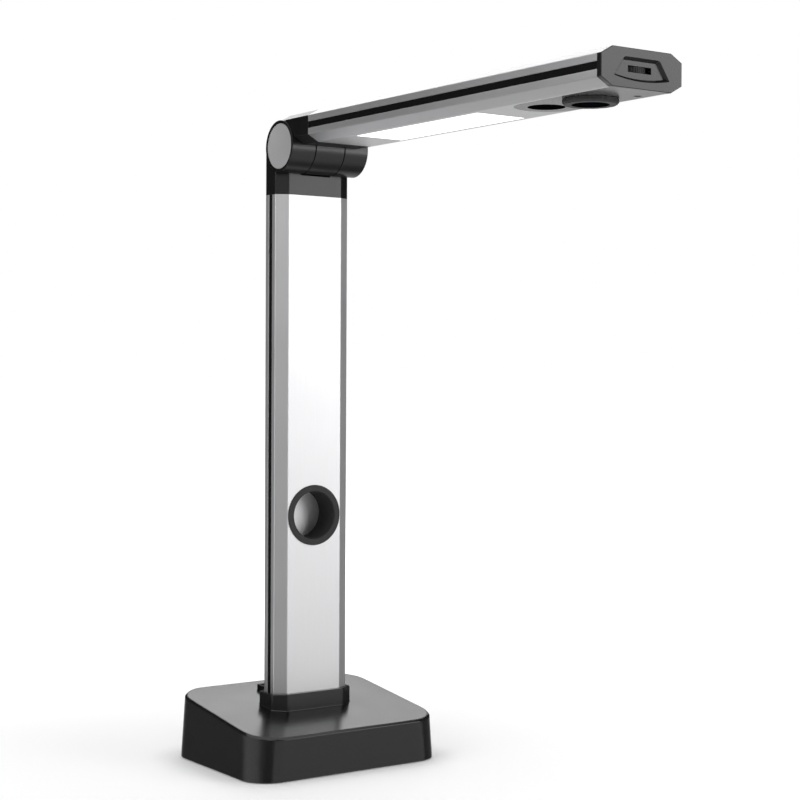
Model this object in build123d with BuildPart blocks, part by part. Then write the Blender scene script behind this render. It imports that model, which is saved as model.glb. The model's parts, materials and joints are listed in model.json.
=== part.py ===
from build123d import *
from math import acos, atan2, cos, hypot, sin, tan
import os

os.makedirs("parts", exist_ok=True)

# A folding document camera. The origin is on the table under the middle of the column.
# +Z is up, +X is the object's left-to-right width, and the arm reaches out along -Y.

# ---------------------------------------------------------------- driving dimensions (mm)
# Aluminium profile that the column and the arm share
PROFILE_W = 50.0
PROFILE_D = 18.3
CHAMFER_W = 6.9
CHAMFER_D = 3.8
WALL = 1.5
GROOVE_W = 3.6
GROOVE_DEPTH = 2.0
STRIP_RECESS = 0.5
SLIP = 0.15

# Base
BASE_W = 128.0
BASE_FRONT = -52.35
BASE_BACK = 48.0
BASE_RADIUS = 17.3
TOP_RADIUS = 20.0
TAPER_H = 42.0
TAPER_SIDE = 1.75
TAPER_FRONT = 0.5
TAPER_BACK = 0.2
SHELL_WALL = 2.4
RIM = 1.25
RIM_BEVEL = 1.1
COVER_T = 2.2
TOP_HEIGHT = 31.55
TOP_SLOPE = 7.55
PAD_T = 1.0
FOOT_GAP = 0.3
FLOOR_T = 2.4
BALLAST_T = 10.0
COLLAR_TOP = 39.9
COLLAR_HALF = (27.3, 12.25)
COLLAR_BEVEL = (8.3, 4.95)
COLLAR_LIP = 0.35

# Column
COLUMN_TOP = 330.8
FLANGE_T = 4.0
POCKET_Z = 143.5
POCKET_R = 14.0
SLEEVE_R = 15.5
BEZEL_R = 17.75
BEZEL_T = 0.7

# Hinge
HINGE_Y = -10.95
HINGE_Z = 357.9
BARREL_R = 14.85
BARREL_HALF = 26.0
KNUCKLE_X = 10.15
KNUCKLE_GAP = 0.5
KNUCKLE_ROOM = 0.8
ARM_CLEARANCE = 0.35
SHAFT_R = 4.0
FIT = 0.02
BUSHING_R = 5.5
DISC_R = 13.15
DISC_T = 1.0

# Arm
ARM_BOTTOM = 357.9
ARM_START = -40.8
ARM_END = -284.65
CAP_FACE = -287.4
TENON = 20.0
LED_W = 30.6
LED_START = -75.2
LED_END = -184.2
PLATE_T = 2.0
PLATE_R = 17.0
PLATE_Y = -221.2
AUX_Y = -219.55
AUX_R = 9.2
LENS_Y = -252.0
RING_R = 13.45
RING_BOTTOM = 355.1
RING_FLUTES = 14
LENS_TUBE_R = 8.0
MIC_X = 11.8
MIC_Y = -271.65

# Dimmer thumbwheel in the end cap
WHEEL_R = 8.0
WHEEL_T = 2.7
WHEEL_RIDGES = 40
RECESS_DEPTH = 1.8

# ---------------------------------------------------------------- derived places
HALF_W = PROFILE_W / 2
HALF_D = PROFILE_D / 2
STRIP_T = GROOVE_DEPTH - STRIP_RECESS
ARM_Z = ARM_BOTTOM + HALF_D
CAVITY_TOP = ARM_BOTTOM + PROFILE_D - WALL
BASE_MID = (BASE_FRONT + BASE_BACK) / 2
BASE_DEPTH = BASE_BACK - BASE_FRONT
SHELL_BOTTOM = FOOT_GAP
FLOOR_TOP = SHELL_BOTTOM + FLOOR_T
BALLAST_TOP = FLOOR_TOP + BALLAST_T
COLUMN_BOTTOM = BALLAST_TOP + FLANGE_T
PLATE_TOP = ARM_BOTTOM + PLATE_T
WHEEL_Y = CAP_FACE + RECESS_DEPTH + WHEEL_R - 0.1
top_plane = Plane((0, 0, TOP_HEIGHT)).rotated((TOP_SLOPE, 0, 0))


# ---------------------------------------------------------------- shapes that repeat
def across_arm(y):
    """Section plane of the arm at y: local x is X, local y is Z from the arm's axis, normal -Y."""
    return Plane(origin=(0, y, ARM_Z), x_dir=(1, 0, 0), z_dir=(0, -1, 0))


def eight_sided(half_w, half_d, chamfer_w, chamfer_d, mode=Mode.ADD):
    """Rectangle with four long bevels, on the active sketch."""
    flat_x = half_w - chamfer_w
    flat_y = half_d - chamfer_d
    upper = [(half_w, flat_y), (flat_x, half_d), (-flat_x, half_d), (-half_w, flat_y)]
    lower = [(-x, -y) for x, y in upper]
    Polygon(*upper, *lower, align=None, mode=mode)


def profile_outline(grow=0.0, mode=Mode.ADD):
    """Outline of the aluminium profile, moved outwards by grow."""
    tilt = atan2(CHAMFER_D, CHAMFER_W)
    flat_x = HALF_W - CHAMFER_W + grow * tan(tilt / 2)
    flat_y = HALF_D - CHAMFER_D + grow * (1 - sin(tilt)) / cos(tilt)
    half_w = HALF_W + grow
    half_d = HALF_D + grow
    eight_sided(half_w, half_d, half_w - flat_x, half_d - flat_y, mode)


def cavity_outline(shrink=0.0, mode=Mode.ADD):
    """Hollow inside the profile, clear of the strip grooves, moved inwards by shrink."""
    half_w = HALF_W - GROOVE_DEPTH - WALL - shrink
    half_d = HALF_D - WALL - shrink
    eight_sided(half_w, half_d, CHAMFER_W - 2.3, CHAMFER_D - 1.2, mode)


def profile_section():
    """Full section of the extruded profile: outline, hollow and the two side grooves."""
    profile_outline()
    cavity_outline(mode=Mode.SUBTRACT)
    with Locations((HALF_W, 0), (-HALF_W, 0)):
        Rectangle(2 * GROOVE_DEPTH, GROOVE_W, mode=Mode.SUBTRACT)


def groove_strip(side):
    """Section of the strip in the groove on one side, -1 for left and 1 for right."""
    with Locations((side * (HALF_W - STRIP_RECESS - STRIP_T / 2), 0)):
        Rectangle(STRIP_T, GROOVE_W - 0.1)


def base_outline(inset=0.0, raised=False):
    """Plan of the base at the table, or at TAPER_H when raised, moved inwards by inset."""
    lean = 1 if raised else 0
    radius = TOP_RADIUS if raised else BASE_RADIUS
    width = BASE_W - 2 * (lean * TAPER_SIDE + inset)
    depth = BASE_DEPTH - lean * (TAPER_FRONT + TAPER_BACK) - 2 * inset
    with Locations((0, BASE_MID + lean * (TAPER_FRONT - TAPER_BACK) / 2)):
        RectangleRounded(width, depth, radius - inset)


def base_block(bottom, inset, mode=Mode.ADD):
    """Tapering block of the base from bottom to TAPER_H."""
    with BuildSketch(Plane.XY.offset(bottom)) as foot:
        base_outline(inset)
    with BuildSketch(Plane.XY.offset(TAPER_H)) as head:
        base_outline(inset, raised=True)
    loft(sections=[foot.sketch, head.sketch], mode=mode)


def about_base(width, depth):
    """Four (x, y) places on a rectangle of width by depth about the middle of the base."""
    return [(sx * width / 2, BASE_MID + sy * depth / 2) for sx in (-1, 1) for sy in (-1, 1)]


def faces_up(face):
    """Whether a face is square to the sloping top of the base."""
    return face.normal_at().dot(top_plane.z_dir) > 0.999


def disc(radius, bottom, top, places=((0, 0),), mode=Mode.ADD):
    """Upright round bars at (x, y) places, from z = bottom to z = top."""
    with BuildSketch(Plane.XY.offset(bottom)) as section:
        with Locations(*places):
            Circle(radius)
    extrude(section.sketch, amount=top - bottom, mode=mode)


def slab(width, depth, bottom, top, places=((0, 0),), mode=Mode.ADD):
    """Rectangular blocks centred on (x, y) places, from z = bottom to z = top."""
    with BuildSketch(Plane.XY.offset(bottom)) as section:
        with Locations(*places):
            Rectangle(width, depth)
    extrude(section.sketch, amount=top - bottom, mode=mode)


def rod(radius, start, end, mode=Mode.ADD):
    """Round bar along X about the hinge axis, from x = start to x = end."""
    with BuildSketch(Plane.YZ.offset(min(start, end))) as section:
        with Locations((HINGE_Y, HINGE_Z)):
            Circle(radius)
    extrude(section.sketch, amount=abs(end - start), mode=mode)


def peg(radius, start, end, places, mode=Mode.ADD):
    """Round bars along Y at (x, z) places, from y = start to the smaller y = end."""
    with BuildSketch(Plane.XZ.offset(-start)) as section:
        with Locations(*places):
            Circle(radius)
    extrude(section.sketch, amount=start - end, mode=mode)


def barrel_tangent(y, z, side):
    """Point where a tangent from (y, z) meets the hinge barrel; side picks one of the two."""
    dy = y - HINGE_Y
    dz = z - HINGE_Z
    angle = atan2(dz, dy) + side * acos(BARREL_R / hypot(dy, dz))
    return (HINGE_Y + BARREL_R * cos(angle), HINGE_Z + BARREL_R * sin(angle))


# ================================================================ base
BOSS_R = 3.8
BOSS_TOP = 20.0
SCREW_R = 1.25
SCREW_HEAD_R = 2.7
SCREW_HEAD_T = 1.4
SCREW_SINK = 1.6
SMALL_HEAD_R = 2.4
SMALL_HEAD_T = 0.6
SMALL_HEAD_SINK = 0.8
THREAD_SLIP = 0.05
SCREW_SPACING = (109.4, 81.7)
POST_R = 3.0
POST_SPACING = (76.0, 68.0)
SOCKET_W = 8.9
SOCKET_H = 3.2
SOCKET_L = 7.4
BOARD_W = 52.0
BOARD_L = 22.0
BOARD_T = 1.6
BOARD_Y = 34.0
STANDOFF_R = 2.2
BOARD_BOTTOM = BALLAST_TOP + 2.6
BOARD_TOP = BOARD_BOTTOM + BOARD_T
SOCKET_Z = BOARD_TOP + SOCKET_H / 2
SOCKET_BACK = BASE_BACK - 1.2
PLUG_RECESS = (13.0, 7.0)


def rear_slot(width, height, depth):
    """Cuts a rounded slot for the data socket, depth deep, into the rear wall."""
    with BuildSketch(Plane.XZ.offset(-BASE_BACK - 1)) as slot:
        with Locations((0, SOCKET_Z)):
            RectangleRounded(width, height, height * 0.49)
    extrude(slot.sketch, amount=depth + 1, mode=Mode.SUBTRACT)


# Room that the cover takes at the top of the shell
with BuildPart() as cover_room:
    base_block(SHELL_BOTTOM, RIM)
    split(bisect_by=top_plane.offset(-COVER_T), keep=Keep.TOP)

# Moulded wall of the base: it leans in a little and slopes at the top, with a rabbet for the cover
with BuildPart() as base_shell:
    base_block(SHELL_BOTTOM, 0)
    split(bisect_by=top_plane, keep=Keep.BOTTOM)
    chamfer(base_shell.faces().filter_by(faces_up).edges(), length=RIM_BEVEL)
    base_block(SHELL_BOTTOM - 1, SHELL_WALL, mode=Mode.SUBTRACT)
    add(cover_room.part, mode=Mode.SUBTRACT)
    disc(BOSS_R, FLOOR_TOP, BOSS_TOP, about_base(*SCREW_SPACING))
    disc(SCREW_R + THREAD_SLIP, SHELL_BOTTOM, BOSS_TOP - 2, about_base(*SCREW_SPACING), mode=Mode.SUBTRACT)
    rear_slot(SOCKET_W + 0.4, SOCKET_H + 0.4, SHELL_WALL + 1)
    rear_slot(*PLUG_RECESS, 0.9)
base_shell.part.label = "base_shell"
export_step(base_shell.part, "parts/base_shell.step")

# Sloping lid of the base, with the opening for the column and posts that hold the ballast down
with BuildPart() as base_top_cover:
    base_block(SHELL_BOTTOM, RIM + SLIP)
    split(bisect_by=top_plane.offset(-COVER_T), keep=Keep.TOP)
    disc(POST_R, BALLAST_TOP + 0.1, TAPER_H, about_base(*POST_SPACING))
    split(bisect_by=top_plane, keep=Keep.BOTTOM)
    chamfer(base_top_cover.faces().filter_by(faces_up).edges(), length=0.2)
    with BuildSketch() as opening:
        profile_outline(1.2)
    extrude(amount=TAPER_H, mode=Mode.SUBTRACT)
base_top_cover.part.label = "base_top_cover"
export_step(base_top_cover.part, "parts/base_top_cover.step")

# Flat floor of the base, screwed up into the shell, with a recess for the pad underneath
BOLT_SPACING = (46.0, 24.0)
BOLT_R = 2.0
BOLT_HEAD_R = 3.5
BOLT_HEAD_T = 4.0
PAD_SIZE = (96.0, 90.0)
PAD_RADIUS = 9.0
PAD_ROOM = 0.2


def pad_outline(grow=0.0):
    """Plan of the soft pad, moved outwards by grow, on the active sketch."""
    with Locations((0, BASE_MID)):
        RectangleRounded(PAD_SIZE[0] + 2 * grow, PAD_SIZE[1] + 2 * grow, PAD_RADIUS + grow)


with BuildPart() as base_floor:
    with BuildSketch(Plane.XY.offset(SHELL_BOTTOM)) as floor_outline:
        base_outline(SHELL_WALL + 2 * SLIP)
    extrude(amount=FLOOR_T)
    disc(SCREW_R + SLIP, SHELL_BOTTOM, FLOOR_TOP, about_base(*SCREW_SPACING), mode=Mode.SUBTRACT)
    head_room_top = SHELL_BOTTOM + SCREW_SINK
    disc(SCREW_HEAD_R + SLIP, SHELL_BOTTOM, head_room_top, about_base(*SCREW_SPACING), Mode.SUBTRACT)
    with BuildSketch() as pad_room:
        pad_outline(PAD_ROOM)
    extrude(amount=PAD_T, mode=Mode.SUBTRACT)
base_floor.part.label = "base_floor"
export_step(base_floor.part, "parts/base_floor.step")

# Screws of the floor, heads sunk in it
with BuildPart() as base_screws:
    head_top = SHELL_BOTTOM + SCREW_SINK
    disc(SCREW_HEAD_R, head_top - SCREW_HEAD_T, head_top, about_base(*SCREW_SPACING))
    disc(SCREW_R, head_top, BOSS_TOP - 4, about_base(*SCREW_SPACING))
    slab(0.8, 3.6, head_top - SCREW_HEAD_T, head_top - 0.7, about_base(*SCREW_SPACING), Mode.SUBTRACT)
    slab(3.6, 0.8, head_top - SCREW_HEAD_T, head_top - 0.7, about_base(*SCREW_SPACING), Mode.SUBTRACT)
base_screws.part.label = "base_screws"
export_step(base_screws.part, "parts/base_screws.step")

# Soft pad that the base stands on, glued in a recess of the floor
with BuildPart() as anti_slip_pad:
    with BuildSketch() as pad_section:
        pad_outline()
    extrude(amount=PAD_T)
anti_slip_pad.part.label = "anti_slip_pad"
export_step(anti_slip_pad.part, "parts/anti_slip_pad.step")

# Steel weight that keeps the camera from tipping under its arm
BALLAST_SIZE = (96.0, 88.0)
bolt_places = [(sx * BOLT_SPACING[0] / 2, sy * BOLT_SPACING[1] / 2) for sx in (-1, 1) for sy in (-1, 1)]
with BuildPart() as ballast_plate:
    with BuildSketch(Plane.XY.offset(FLOOR_TOP)) as ballast_outline:
        with Locations((0, BASE_MID)):
            RectangleRounded(*BALLAST_SIZE, 5.0)
    extrude(amount=BALLAST_T)
    disc(BOLT_R + 0.1, FLOOR_TOP, BALLAST_TOP, bolt_places, mode=Mode.SUBTRACT)
    disc(BOLT_HEAD_R + 0.2, FLOOR_TOP, FLOOR_TOP + BOLT_HEAD_T, bolt_places, mode=Mode.SUBTRACT)
ballast_plate.part.label = "ballast_plate"
export_step(ballast_plate.part, "parts/ballast_plate.step")

# Cast foot: a flange on the ballast and a tongue up inside the column
TONGUE_TOP = 60.0
WIRE_R = 1.5
WIRE_X = 16.0
FOOT_SCREW_Z = 25.0
foot_screw_places = [(-10.0, FOOT_SCREW_Z), (8.0, FOOT_SCREW_Z)]
with BuildPart() as foot_bracket:
    slab(60.0, 36.0, BALLAST_TOP, COLUMN_BOTTOM)
    with BuildSketch(Plane.XY.offset(COLUMN_BOTTOM)) as tongue:
        cavity_outline(SLIP)
    extrude(amount=TONGUE_TOP - COLUMN_BOTTOM)
    chamfer(foot_bracket.faces().sort_by(Axis.Z)[-1].edges(), length=1.0)
    disc(BOLT_R + THREAD_SLIP, BALLAST_TOP, COLUMN_BOTTOM, bolt_places, mode=Mode.SUBTRACT)
    disc(WIRE_R + 1, BALLAST_TOP, TONGUE_TOP, [(WIRE_X, 0)], mode=Mode.SUBTRACT)
    peg(SCREW_R + THREAD_SLIP, HALF_D, 0, foot_screw_places, mode=Mode.SUBTRACT)
foot_bracket.part.label = "foot_bracket"
export_step(foot_bracket.part, "parts/foot_bracket.step")

# Socket-head bolts from under the ballast up into the foot
with BuildPart() as foot_bolts:
    disc(BOLT_HEAD_R, FLOOR_TOP + 0.1, FLOOR_TOP + BOLT_HEAD_T, bolt_places)
    disc(BOLT_R, FLOOR_TOP + BOLT_HEAD_T, COLUMN_BOTTOM - 0.5, bolt_places)
    disc(1.6, FLOOR_TOP + 0.1, FLOOR_TOP + 2.2, bolt_places, mode=Mode.SUBTRACT)
foot_bolts.part.label = "foot_bolts"
export_step(foot_bolts.part, "parts/foot_bolts.step")

# Screws through the back of the column into the foot's tongue, out of sight under the cover
with BuildPart() as foot_screws:
    peg(SMALL_HEAD_R, HALF_D + 1.4, HALF_D, foot_screw_places)
    peg(SCREW_R, HALF_D, 1.0, foot_screw_places)
foot_screws.part.label = "foot_screws"
export_step(foot_screws.part, "parts/foot_screws.step")

# Bevelled collar where the column enters the base: level on top, a thin lip along its sloping foot
with BuildPart() as base_collar:
    with BuildSketch(Plane.XY.offset(TOP_HEIGHT - 6)) as lip_outline:
        eight_sided(COLLAR_HALF[0] + COLLAR_LIP, COLLAR_HALF[1] + COLLAR_LIP, *COLLAR_BEVEL)
    extrude(amount=12)
    split(bisect_by=top_plane.offset(0.05 + COLLAR_LIP), keep=Keep.BOTTOM)
    chamfer(base_collar.faces().filter_by(faces_up).edges(), length=COLLAR_LIP - 0.05)
    with BuildSketch(Plane.XY.offset(TOP_HEIGHT - 6)) as collar_outline:
        eight_sided(*COLLAR_HALF, *COLLAR_BEVEL)
    extrude(amount=COLLAR_TOP - TOP_HEIGHT + 6)
    split(bisect_by=top_plane.offset(0.05), keep=Keep.TOP)
    chamfer(base_collar.edges().group_by(Axis.Z)[-1], length=0.4)
    with BuildSketch(Plane.XY.offset(TOP_HEIGHT - 6)) as collar_opening:
        profile_outline(SLIP)
    extrude(amount=COLLAR_TOP, mode=Mode.SUBTRACT)
base_collar.part.label = "base_collar"
export_step(base_collar.part, "parts/base_collar.step")

# Low cover behind the collar, over the slot where the wires pass into the column
WIRE_COVER_W = 27.2
WIRE_COVER_BACK = 33.6
WIRE_COVER_TOP = 38.7
WIRE_COVER_EDGE = 1.2
wire_cover_front = COLLAR_HALF[1] + 2 * COLLAR_LIP
wire_cover_y = (wire_cover_front + WIRE_COVER_BACK) / 2
with BuildPart() as wire_cover:
    slab(WIRE_COVER_W, WIRE_COVER_BACK - wire_cover_front, TOP_HEIGHT, WIRE_COVER_TOP, [(0, wire_cover_y)])
    split(bisect_by=top_plane.offset(0.05), keep=Keep.TOP)
    fillet(wire_cover.edges().filter_by(Axis.Z).group_by(Axis.Y)[-1], radius=1.2)
    fillet(wire_cover.edges().group_by(Axis.Z)[-1], radius=0.4)
    with BuildSketch(Plane.XY.offset(WIRE_COVER_TOP)) as tray:
        with Locations((0, wire_cover_y)):
            tray_depth = WIRE_COVER_BACK - wire_cover_front - 2 * WIRE_COVER_EDGE
            RectangleRounded(WIRE_COVER_W - 2 * WIRE_COVER_EDGE, tray_depth, 0.8)
    extrude(amount=-0.6, mode=Mode.SUBTRACT)
wire_cover.part.label = "wire_cover"
export_step(wire_cover.part, "parts/wire_cover.step")

# Circuit board of the base on four brass standoffs
board_dx = BOARD_W / 2 - 3
board_dy = BOARD_L / 2 - 3
board_places = [(sx * board_dx, BOARD_Y + sy * board_dy) for sx in (-1, 1) for sy in (-1, 1)]
with BuildPart() as main_board:
    slab(BOARD_W, BOARD_L, BOARD_BOTTOM, BOARD_TOP, [(0, BOARD_Y)])
    disc(1.1, BOARD_BOTTOM, BOARD_TOP, board_places, mode=Mode.SUBTRACT)
main_board.part.label = "main_board"
export_step(main_board.part, "parts/main_board.step")

with BuildPart() as board_standoffs:
    disc(STANDOFF_R, BALLAST_TOP, BOARD_BOTTOM, board_places)
board_standoffs.part.label = "board_standoffs"
export_step(board_standoffs.part, "parts/board_standoffs.step")

with BuildPart() as board_screws:
    disc(1.0, BOARD_BOTTOM, BOARD_TOP, board_places)
    disc(1.9, BOARD_TOP, BOARD_TOP + 1.2, board_places)
board_screws.part.label = "board_screws"
export_step(board_screws.part, "parts/board_screws.step")

# Video processor, memory and power parts on the board
with BuildPart() as board_chips:
    slab(10.0, 10.0, BOARD_TOP, BOARD_TOP + 1.2, [(-13.0, BOARD_Y)])
    slab(6.0, 4.0, BOARD_TOP, BOARD_TOP + 1.0, [(-2.5, BOARD_Y - 5)])
    slab(4.0, 4.0, BOARD_TOP, BOARD_TOP + 2.4, [(14.0, BOARD_Y - 2), (19.5, BOARD_Y - 2)])
board_chips.part.label = "board_chips"
export_step(board_chips.part, "parts/board_chips.step")

# Data and power socket: an open steel shell with a plastic tongue inside
with BuildPart() as data_socket:
    with BuildSketch(Plane.XZ.offset(-SOCKET_BACK)) as socket_shell:
        with Locations((0, SOCKET_Z)):
            RectangleRounded(SOCKET_W, SOCKET_H, SOCKET_H * 0.49)
            RectangleRounded(SOCKET_W - 0.6, SOCKET_H - 0.6, SOCKET_H * 0.39, mode=Mode.SUBTRACT)
    extrude(amount=SOCKET_L)
    with BuildSketch(Plane.XZ.offset(-SOCKET_BACK + SOCKET_L)) as socket_back:
        with Locations((0, SOCKET_Z)):
            RectangleRounded(SOCKET_W, SOCKET_H, SOCKET_H * 0.49)
    extrude(amount=0.5)
data_socket.part.label = "data_socket"
export_step(data_socket.part, "parts/data_socket.step")

with BuildPart() as socket_tongue:
    with BuildSketch(Plane.XZ.offset(-SOCKET_BACK + 0.8)) as tongue_section:
        with Locations((0, SOCKET_Z)):
            RectangleRounded(6.6, 0.7, 0.2)
    extrude(amount=SOCKET_L - 0.8)
socket_tongue.part.label = "socket_tongue"
export_step(socket_tongue.part, "parts/socket_tongue.step")

# ================================================================ column
neck_screw_places = [(-12.0, COLUMN_TOP - 10), (12.0, COLUMN_TOP - 10)]
with BuildPart() as column_extrusion:
    with BuildSketch(Plane.XY.offset(COLUMN_BOTTOM)) as column_section:
        profile_section()
    extrude(amount=COLUMN_TOP - COLUMN_BOTTOM)
    peg(SLEEVE_R + 0.1, 0, -HALF_D - 1, [(0, POCKET_Z)], mode=Mode.SUBTRACT)
    peg(SCREW_R + 0.1, HALF_D + 1, 0, foot_screw_places + neck_screw_places, mode=Mode.SUBTRACT)
    peg(SMALL_HEAD_R + 0.1, HALF_D + 1, HALF_D - SMALL_HEAD_SINK, neck_screw_places, mode=Mode.SUBTRACT)
column_extrusion.part.label = "column_extrusion"
export_step(column_extrusion.part, "parts/column_extrusion.step")

# Dark strips pressed into the grooves down both sides of the column
for side, name in ((-1, "left"), (1, "right")):
    with BuildPart() as column_strip:
        with BuildSketch(Plane.XY.offset(COLUMN_BOTTOM)) as strip_section:
            groove_strip(side)
        extrude(amount=COLUMN_TOP - COLUMN_BOTTOM)
    column_strip.part.label = f"column_strip_{name}"
    export_step(column_strip.part, f"parts/column_strip_{name}.step")

# Round pocket in the front of the column: a flat rim and a tube back to the rear wall
with BuildPart() as pocket_sleeve:
    peg(BEZEL_R, -HALF_D, -HALF_D - BEZEL_T, [(0, POCKET_Z)])
    peg(SLEEVE_R, HALF_D - WALL - 0.05, -HALF_D, [(0, POCKET_Z)])
    peg(POCKET_R, HALF_D, -HALF_D - BEZEL_T - 1, [(0, POCKET_Z)], mode=Mode.SUBTRACT)
    rim_edges = pocket_sleeve.edges().filter_by(GeomType.CIRCLE).group_by(Axis.Y)[0]
    chamfer(rim_edges, length=0.3)
pocket_sleeve.part.label = "pocket_sleeve"
export_step(pocket_sleeve.part, "parts/pocket_sleeve.step")

# Wires up the column, beside the pocket
NECK_TENON = 22.0
with BuildPart() as column_wires:
    disc(WIRE_R, COLUMN_BOTTOM, POCKET_Z - 22, [(WIRE_X, 0)])
    disc(WIRE_R, POCKET_Z - 22, POCKET_Z + 22, [(WIRE_X + 2.4, 0)])
    disc(WIRE_R, POCKET_Z + 22, COLUMN_TOP - NECK_TENON + 6, [(WIRE_X, 0)])
    slab(5.4, 2.0, POCKET_Z - 23, POCKET_Z - 21, [(WIRE_X + 1.2, 0)])
    slab(5.4, 2.0, POCKET_Z + 21, POCKET_Z + 23, [(WIRE_X + 1.2, 0)])
column_wires.part.label = "column_wires"
export_step(column_wires.part, "parts/column_wires.step")

# ================================================================ hinge
# Neck: the column's outline carried up into two outer knuckles, with a tenon down into the column
SHOULDER_Z = 349.0
HEAD_R = 6.5
HEAD_T = 3.5
NUT_SIDE = 15.5
NUT_ROOM_R = 7.5
WASHER_R = 9.0
WASHER_T = 0.8
disc_floor = BARREL_HALF - DISC_T - 0.2
with BuildPart() as neck_block:
    with BuildSketch(Plane.XY.offset(COLUMN_TOP)) as neck_section:
        profile_outline()
    extrude(amount=HINGE_Z + BARREL_R - COLUMN_TOP)
    with BuildSketch(Plane.YZ) as neck_side:
        shoulder = barrel_tangent(HALF_D, SHOULDER_Z, 1)
        with BuildLine():
            Polyline(
                (-HALF_D, HINGE_Z),
                (-HALF_D, COLUMN_TOP),
                (HALF_D, COLUMN_TOP),
                (HALF_D, SHOULDER_Z),
                shoulder,
                (HINGE_Y, HINGE_Z),
                close=True,
            )
        make_face()
    extrude(amount=HALF_W, both=True, mode=Mode.INTERSECT)
    rod(BARREL_R, -BARREL_HALF, BARREL_HALF)
    rod(BARREL_R + KNUCKLE_ROOM, -KNUCKLE_X, KNUCKLE_X, mode=Mode.SUBTRACT)
    with BuildSketch(Plane.XY.offset(COLUMN_TOP)) as neck_tenon:
        cavity_outline(SLIP)
    extrude(amount=-NECK_TENON)
    peg(SCREW_R + THREAD_SLIP, HALF_D, 0, neck_screw_places, mode=Mode.SUBTRACT)
    disc(WIRE_R + 0.5, COLUMN_TOP - NECK_TENON, HINGE_Z - 8, [(WIRE_X, 0)], mode=Mode.SUBTRACT)
    rod(SHAFT_R + FIT, -BARREL_HALF, BARREL_HALF, mode=Mode.SUBTRACT)
    rod(WASHER_R + 0.2, -KNUCKLE_X - WASHER_T - 0.05, KNUCKLE_X + WASHER_T + 0.05, mode=Mode.SUBTRACT)
    rod(HEAD_R + 0.2, -BARREL_HALF, -disc_floor + HEAD_T, mode=Mode.SUBTRACT)
    rod(NUT_ROOM_R, NUT_SIDE, BARREL_HALF, mode=Mode.SUBTRACT)
    rod(DISC_R + 0.1, -BARREL_HALF, -disc_floor, mode=Mode.SUBTRACT)
    rod(DISC_R + 0.1, disc_floor, BARREL_HALF, mode=Mode.SUBTRACT)
neck_block.part.label = "neck_block"
export_step(neck_block.part, "parts/neck_block.step")

with BuildPart() as neck_screws:
    head_seat = HALF_D - SMALL_HEAD_SINK
    peg(SMALL_HEAD_R, head_seat + SMALL_HEAD_T, head_seat, neck_screw_places)
    peg(SCREW_R, head_seat, 1.0, neck_screw_places)
neck_screws.part.label = "neck_screws"
export_step(neck_screws.part, "parts/neck_screws.step")

# Hollow steel shaft, held in the outer knuckles, with its head on the left
with BuildPart() as hinge_shaft:
    rod(HEAD_R, -disc_floor + 0.1, -disc_floor + HEAD_T)
    rod(SHAFT_R, -disc_floor + HEAD_T, disc_floor - 1.5)
    rod(1.6, -disc_floor, disc_floor, mode=Mode.SUBTRACT)
hinge_shaft.part.label = "hinge_shaft"
export_step(hinge_shaft.part, "parts/hinge_shaft.step")

# Dished washers that press the knuckles together, so the arm stays where it is put
SPRING_T = 0.9
with BuildPart() as spring_washers:
    rod(NUT_ROOM_R - 0.4, NUT_SIDE, NUT_SIDE + SPRING_T)
    rod(NUT_ROOM_R - 0.4, NUT_SIDE + SPRING_T + 0.1, NUT_SIDE + 2 * SPRING_T + 0.1)
    rod(SHAFT_R + 0.2, NUT_SIDE, NUT_SIDE + 3, mode=Mode.SUBTRACT)
spring_washers.part.label = "spring_washers"
export_step(spring_washers.part, "parts/spring_washers.step")

nut_start = NUT_SIDE + 2 * SPRING_T + 0.2
with BuildPart() as shaft_nut:
    with BuildSketch(Plane.YZ.offset(nut_start)) as nut_section:
        with Locations((HINGE_Y, HINGE_Z)):
            RegularPolygon(NUT_ROOM_R - 0.6, 6)
            Circle(SHAFT_R + FIT, mode=Mode.SUBTRACT)
    extrude(amount=5.0)
shaft_nut.part.label = "shaft_nut"
export_step(shaft_nut.part, "parts/shaft_nut.step")

with BuildPart() as friction_washers:
    rod(WASHER_R, -KNUCKLE_X - WASHER_T, -KNUCKLE_X)
    rod(WASHER_R, KNUCKLE_X, KNUCKLE_X + WASHER_T)
    rod(SHAFT_R + 0.2, -BARREL_HALF, BARREL_HALF, mode=Mode.SUBTRACT)
friction_washers.part.label = "friction_washers"
export_step(friction_washers.part, "parts/friction_washers.step")

# Silver discs that close the ends of the barrel
for side, name in ((-1, "left"), (1, "right")):
    with BuildPart() as hinge_disc:
        rod(DISC_R, side * disc_floor, side * (disc_floor + DISC_T))
        chamfer(hinge_disc.edges().sort_by(lambda edge: side * edge.center().X)[-1], length=0.25)
    hinge_disc.part.label = f"hinge_disc_{name}"
    export_step(hinge_disc.part, f"parts/hinge_disc_{name}.step")

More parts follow.
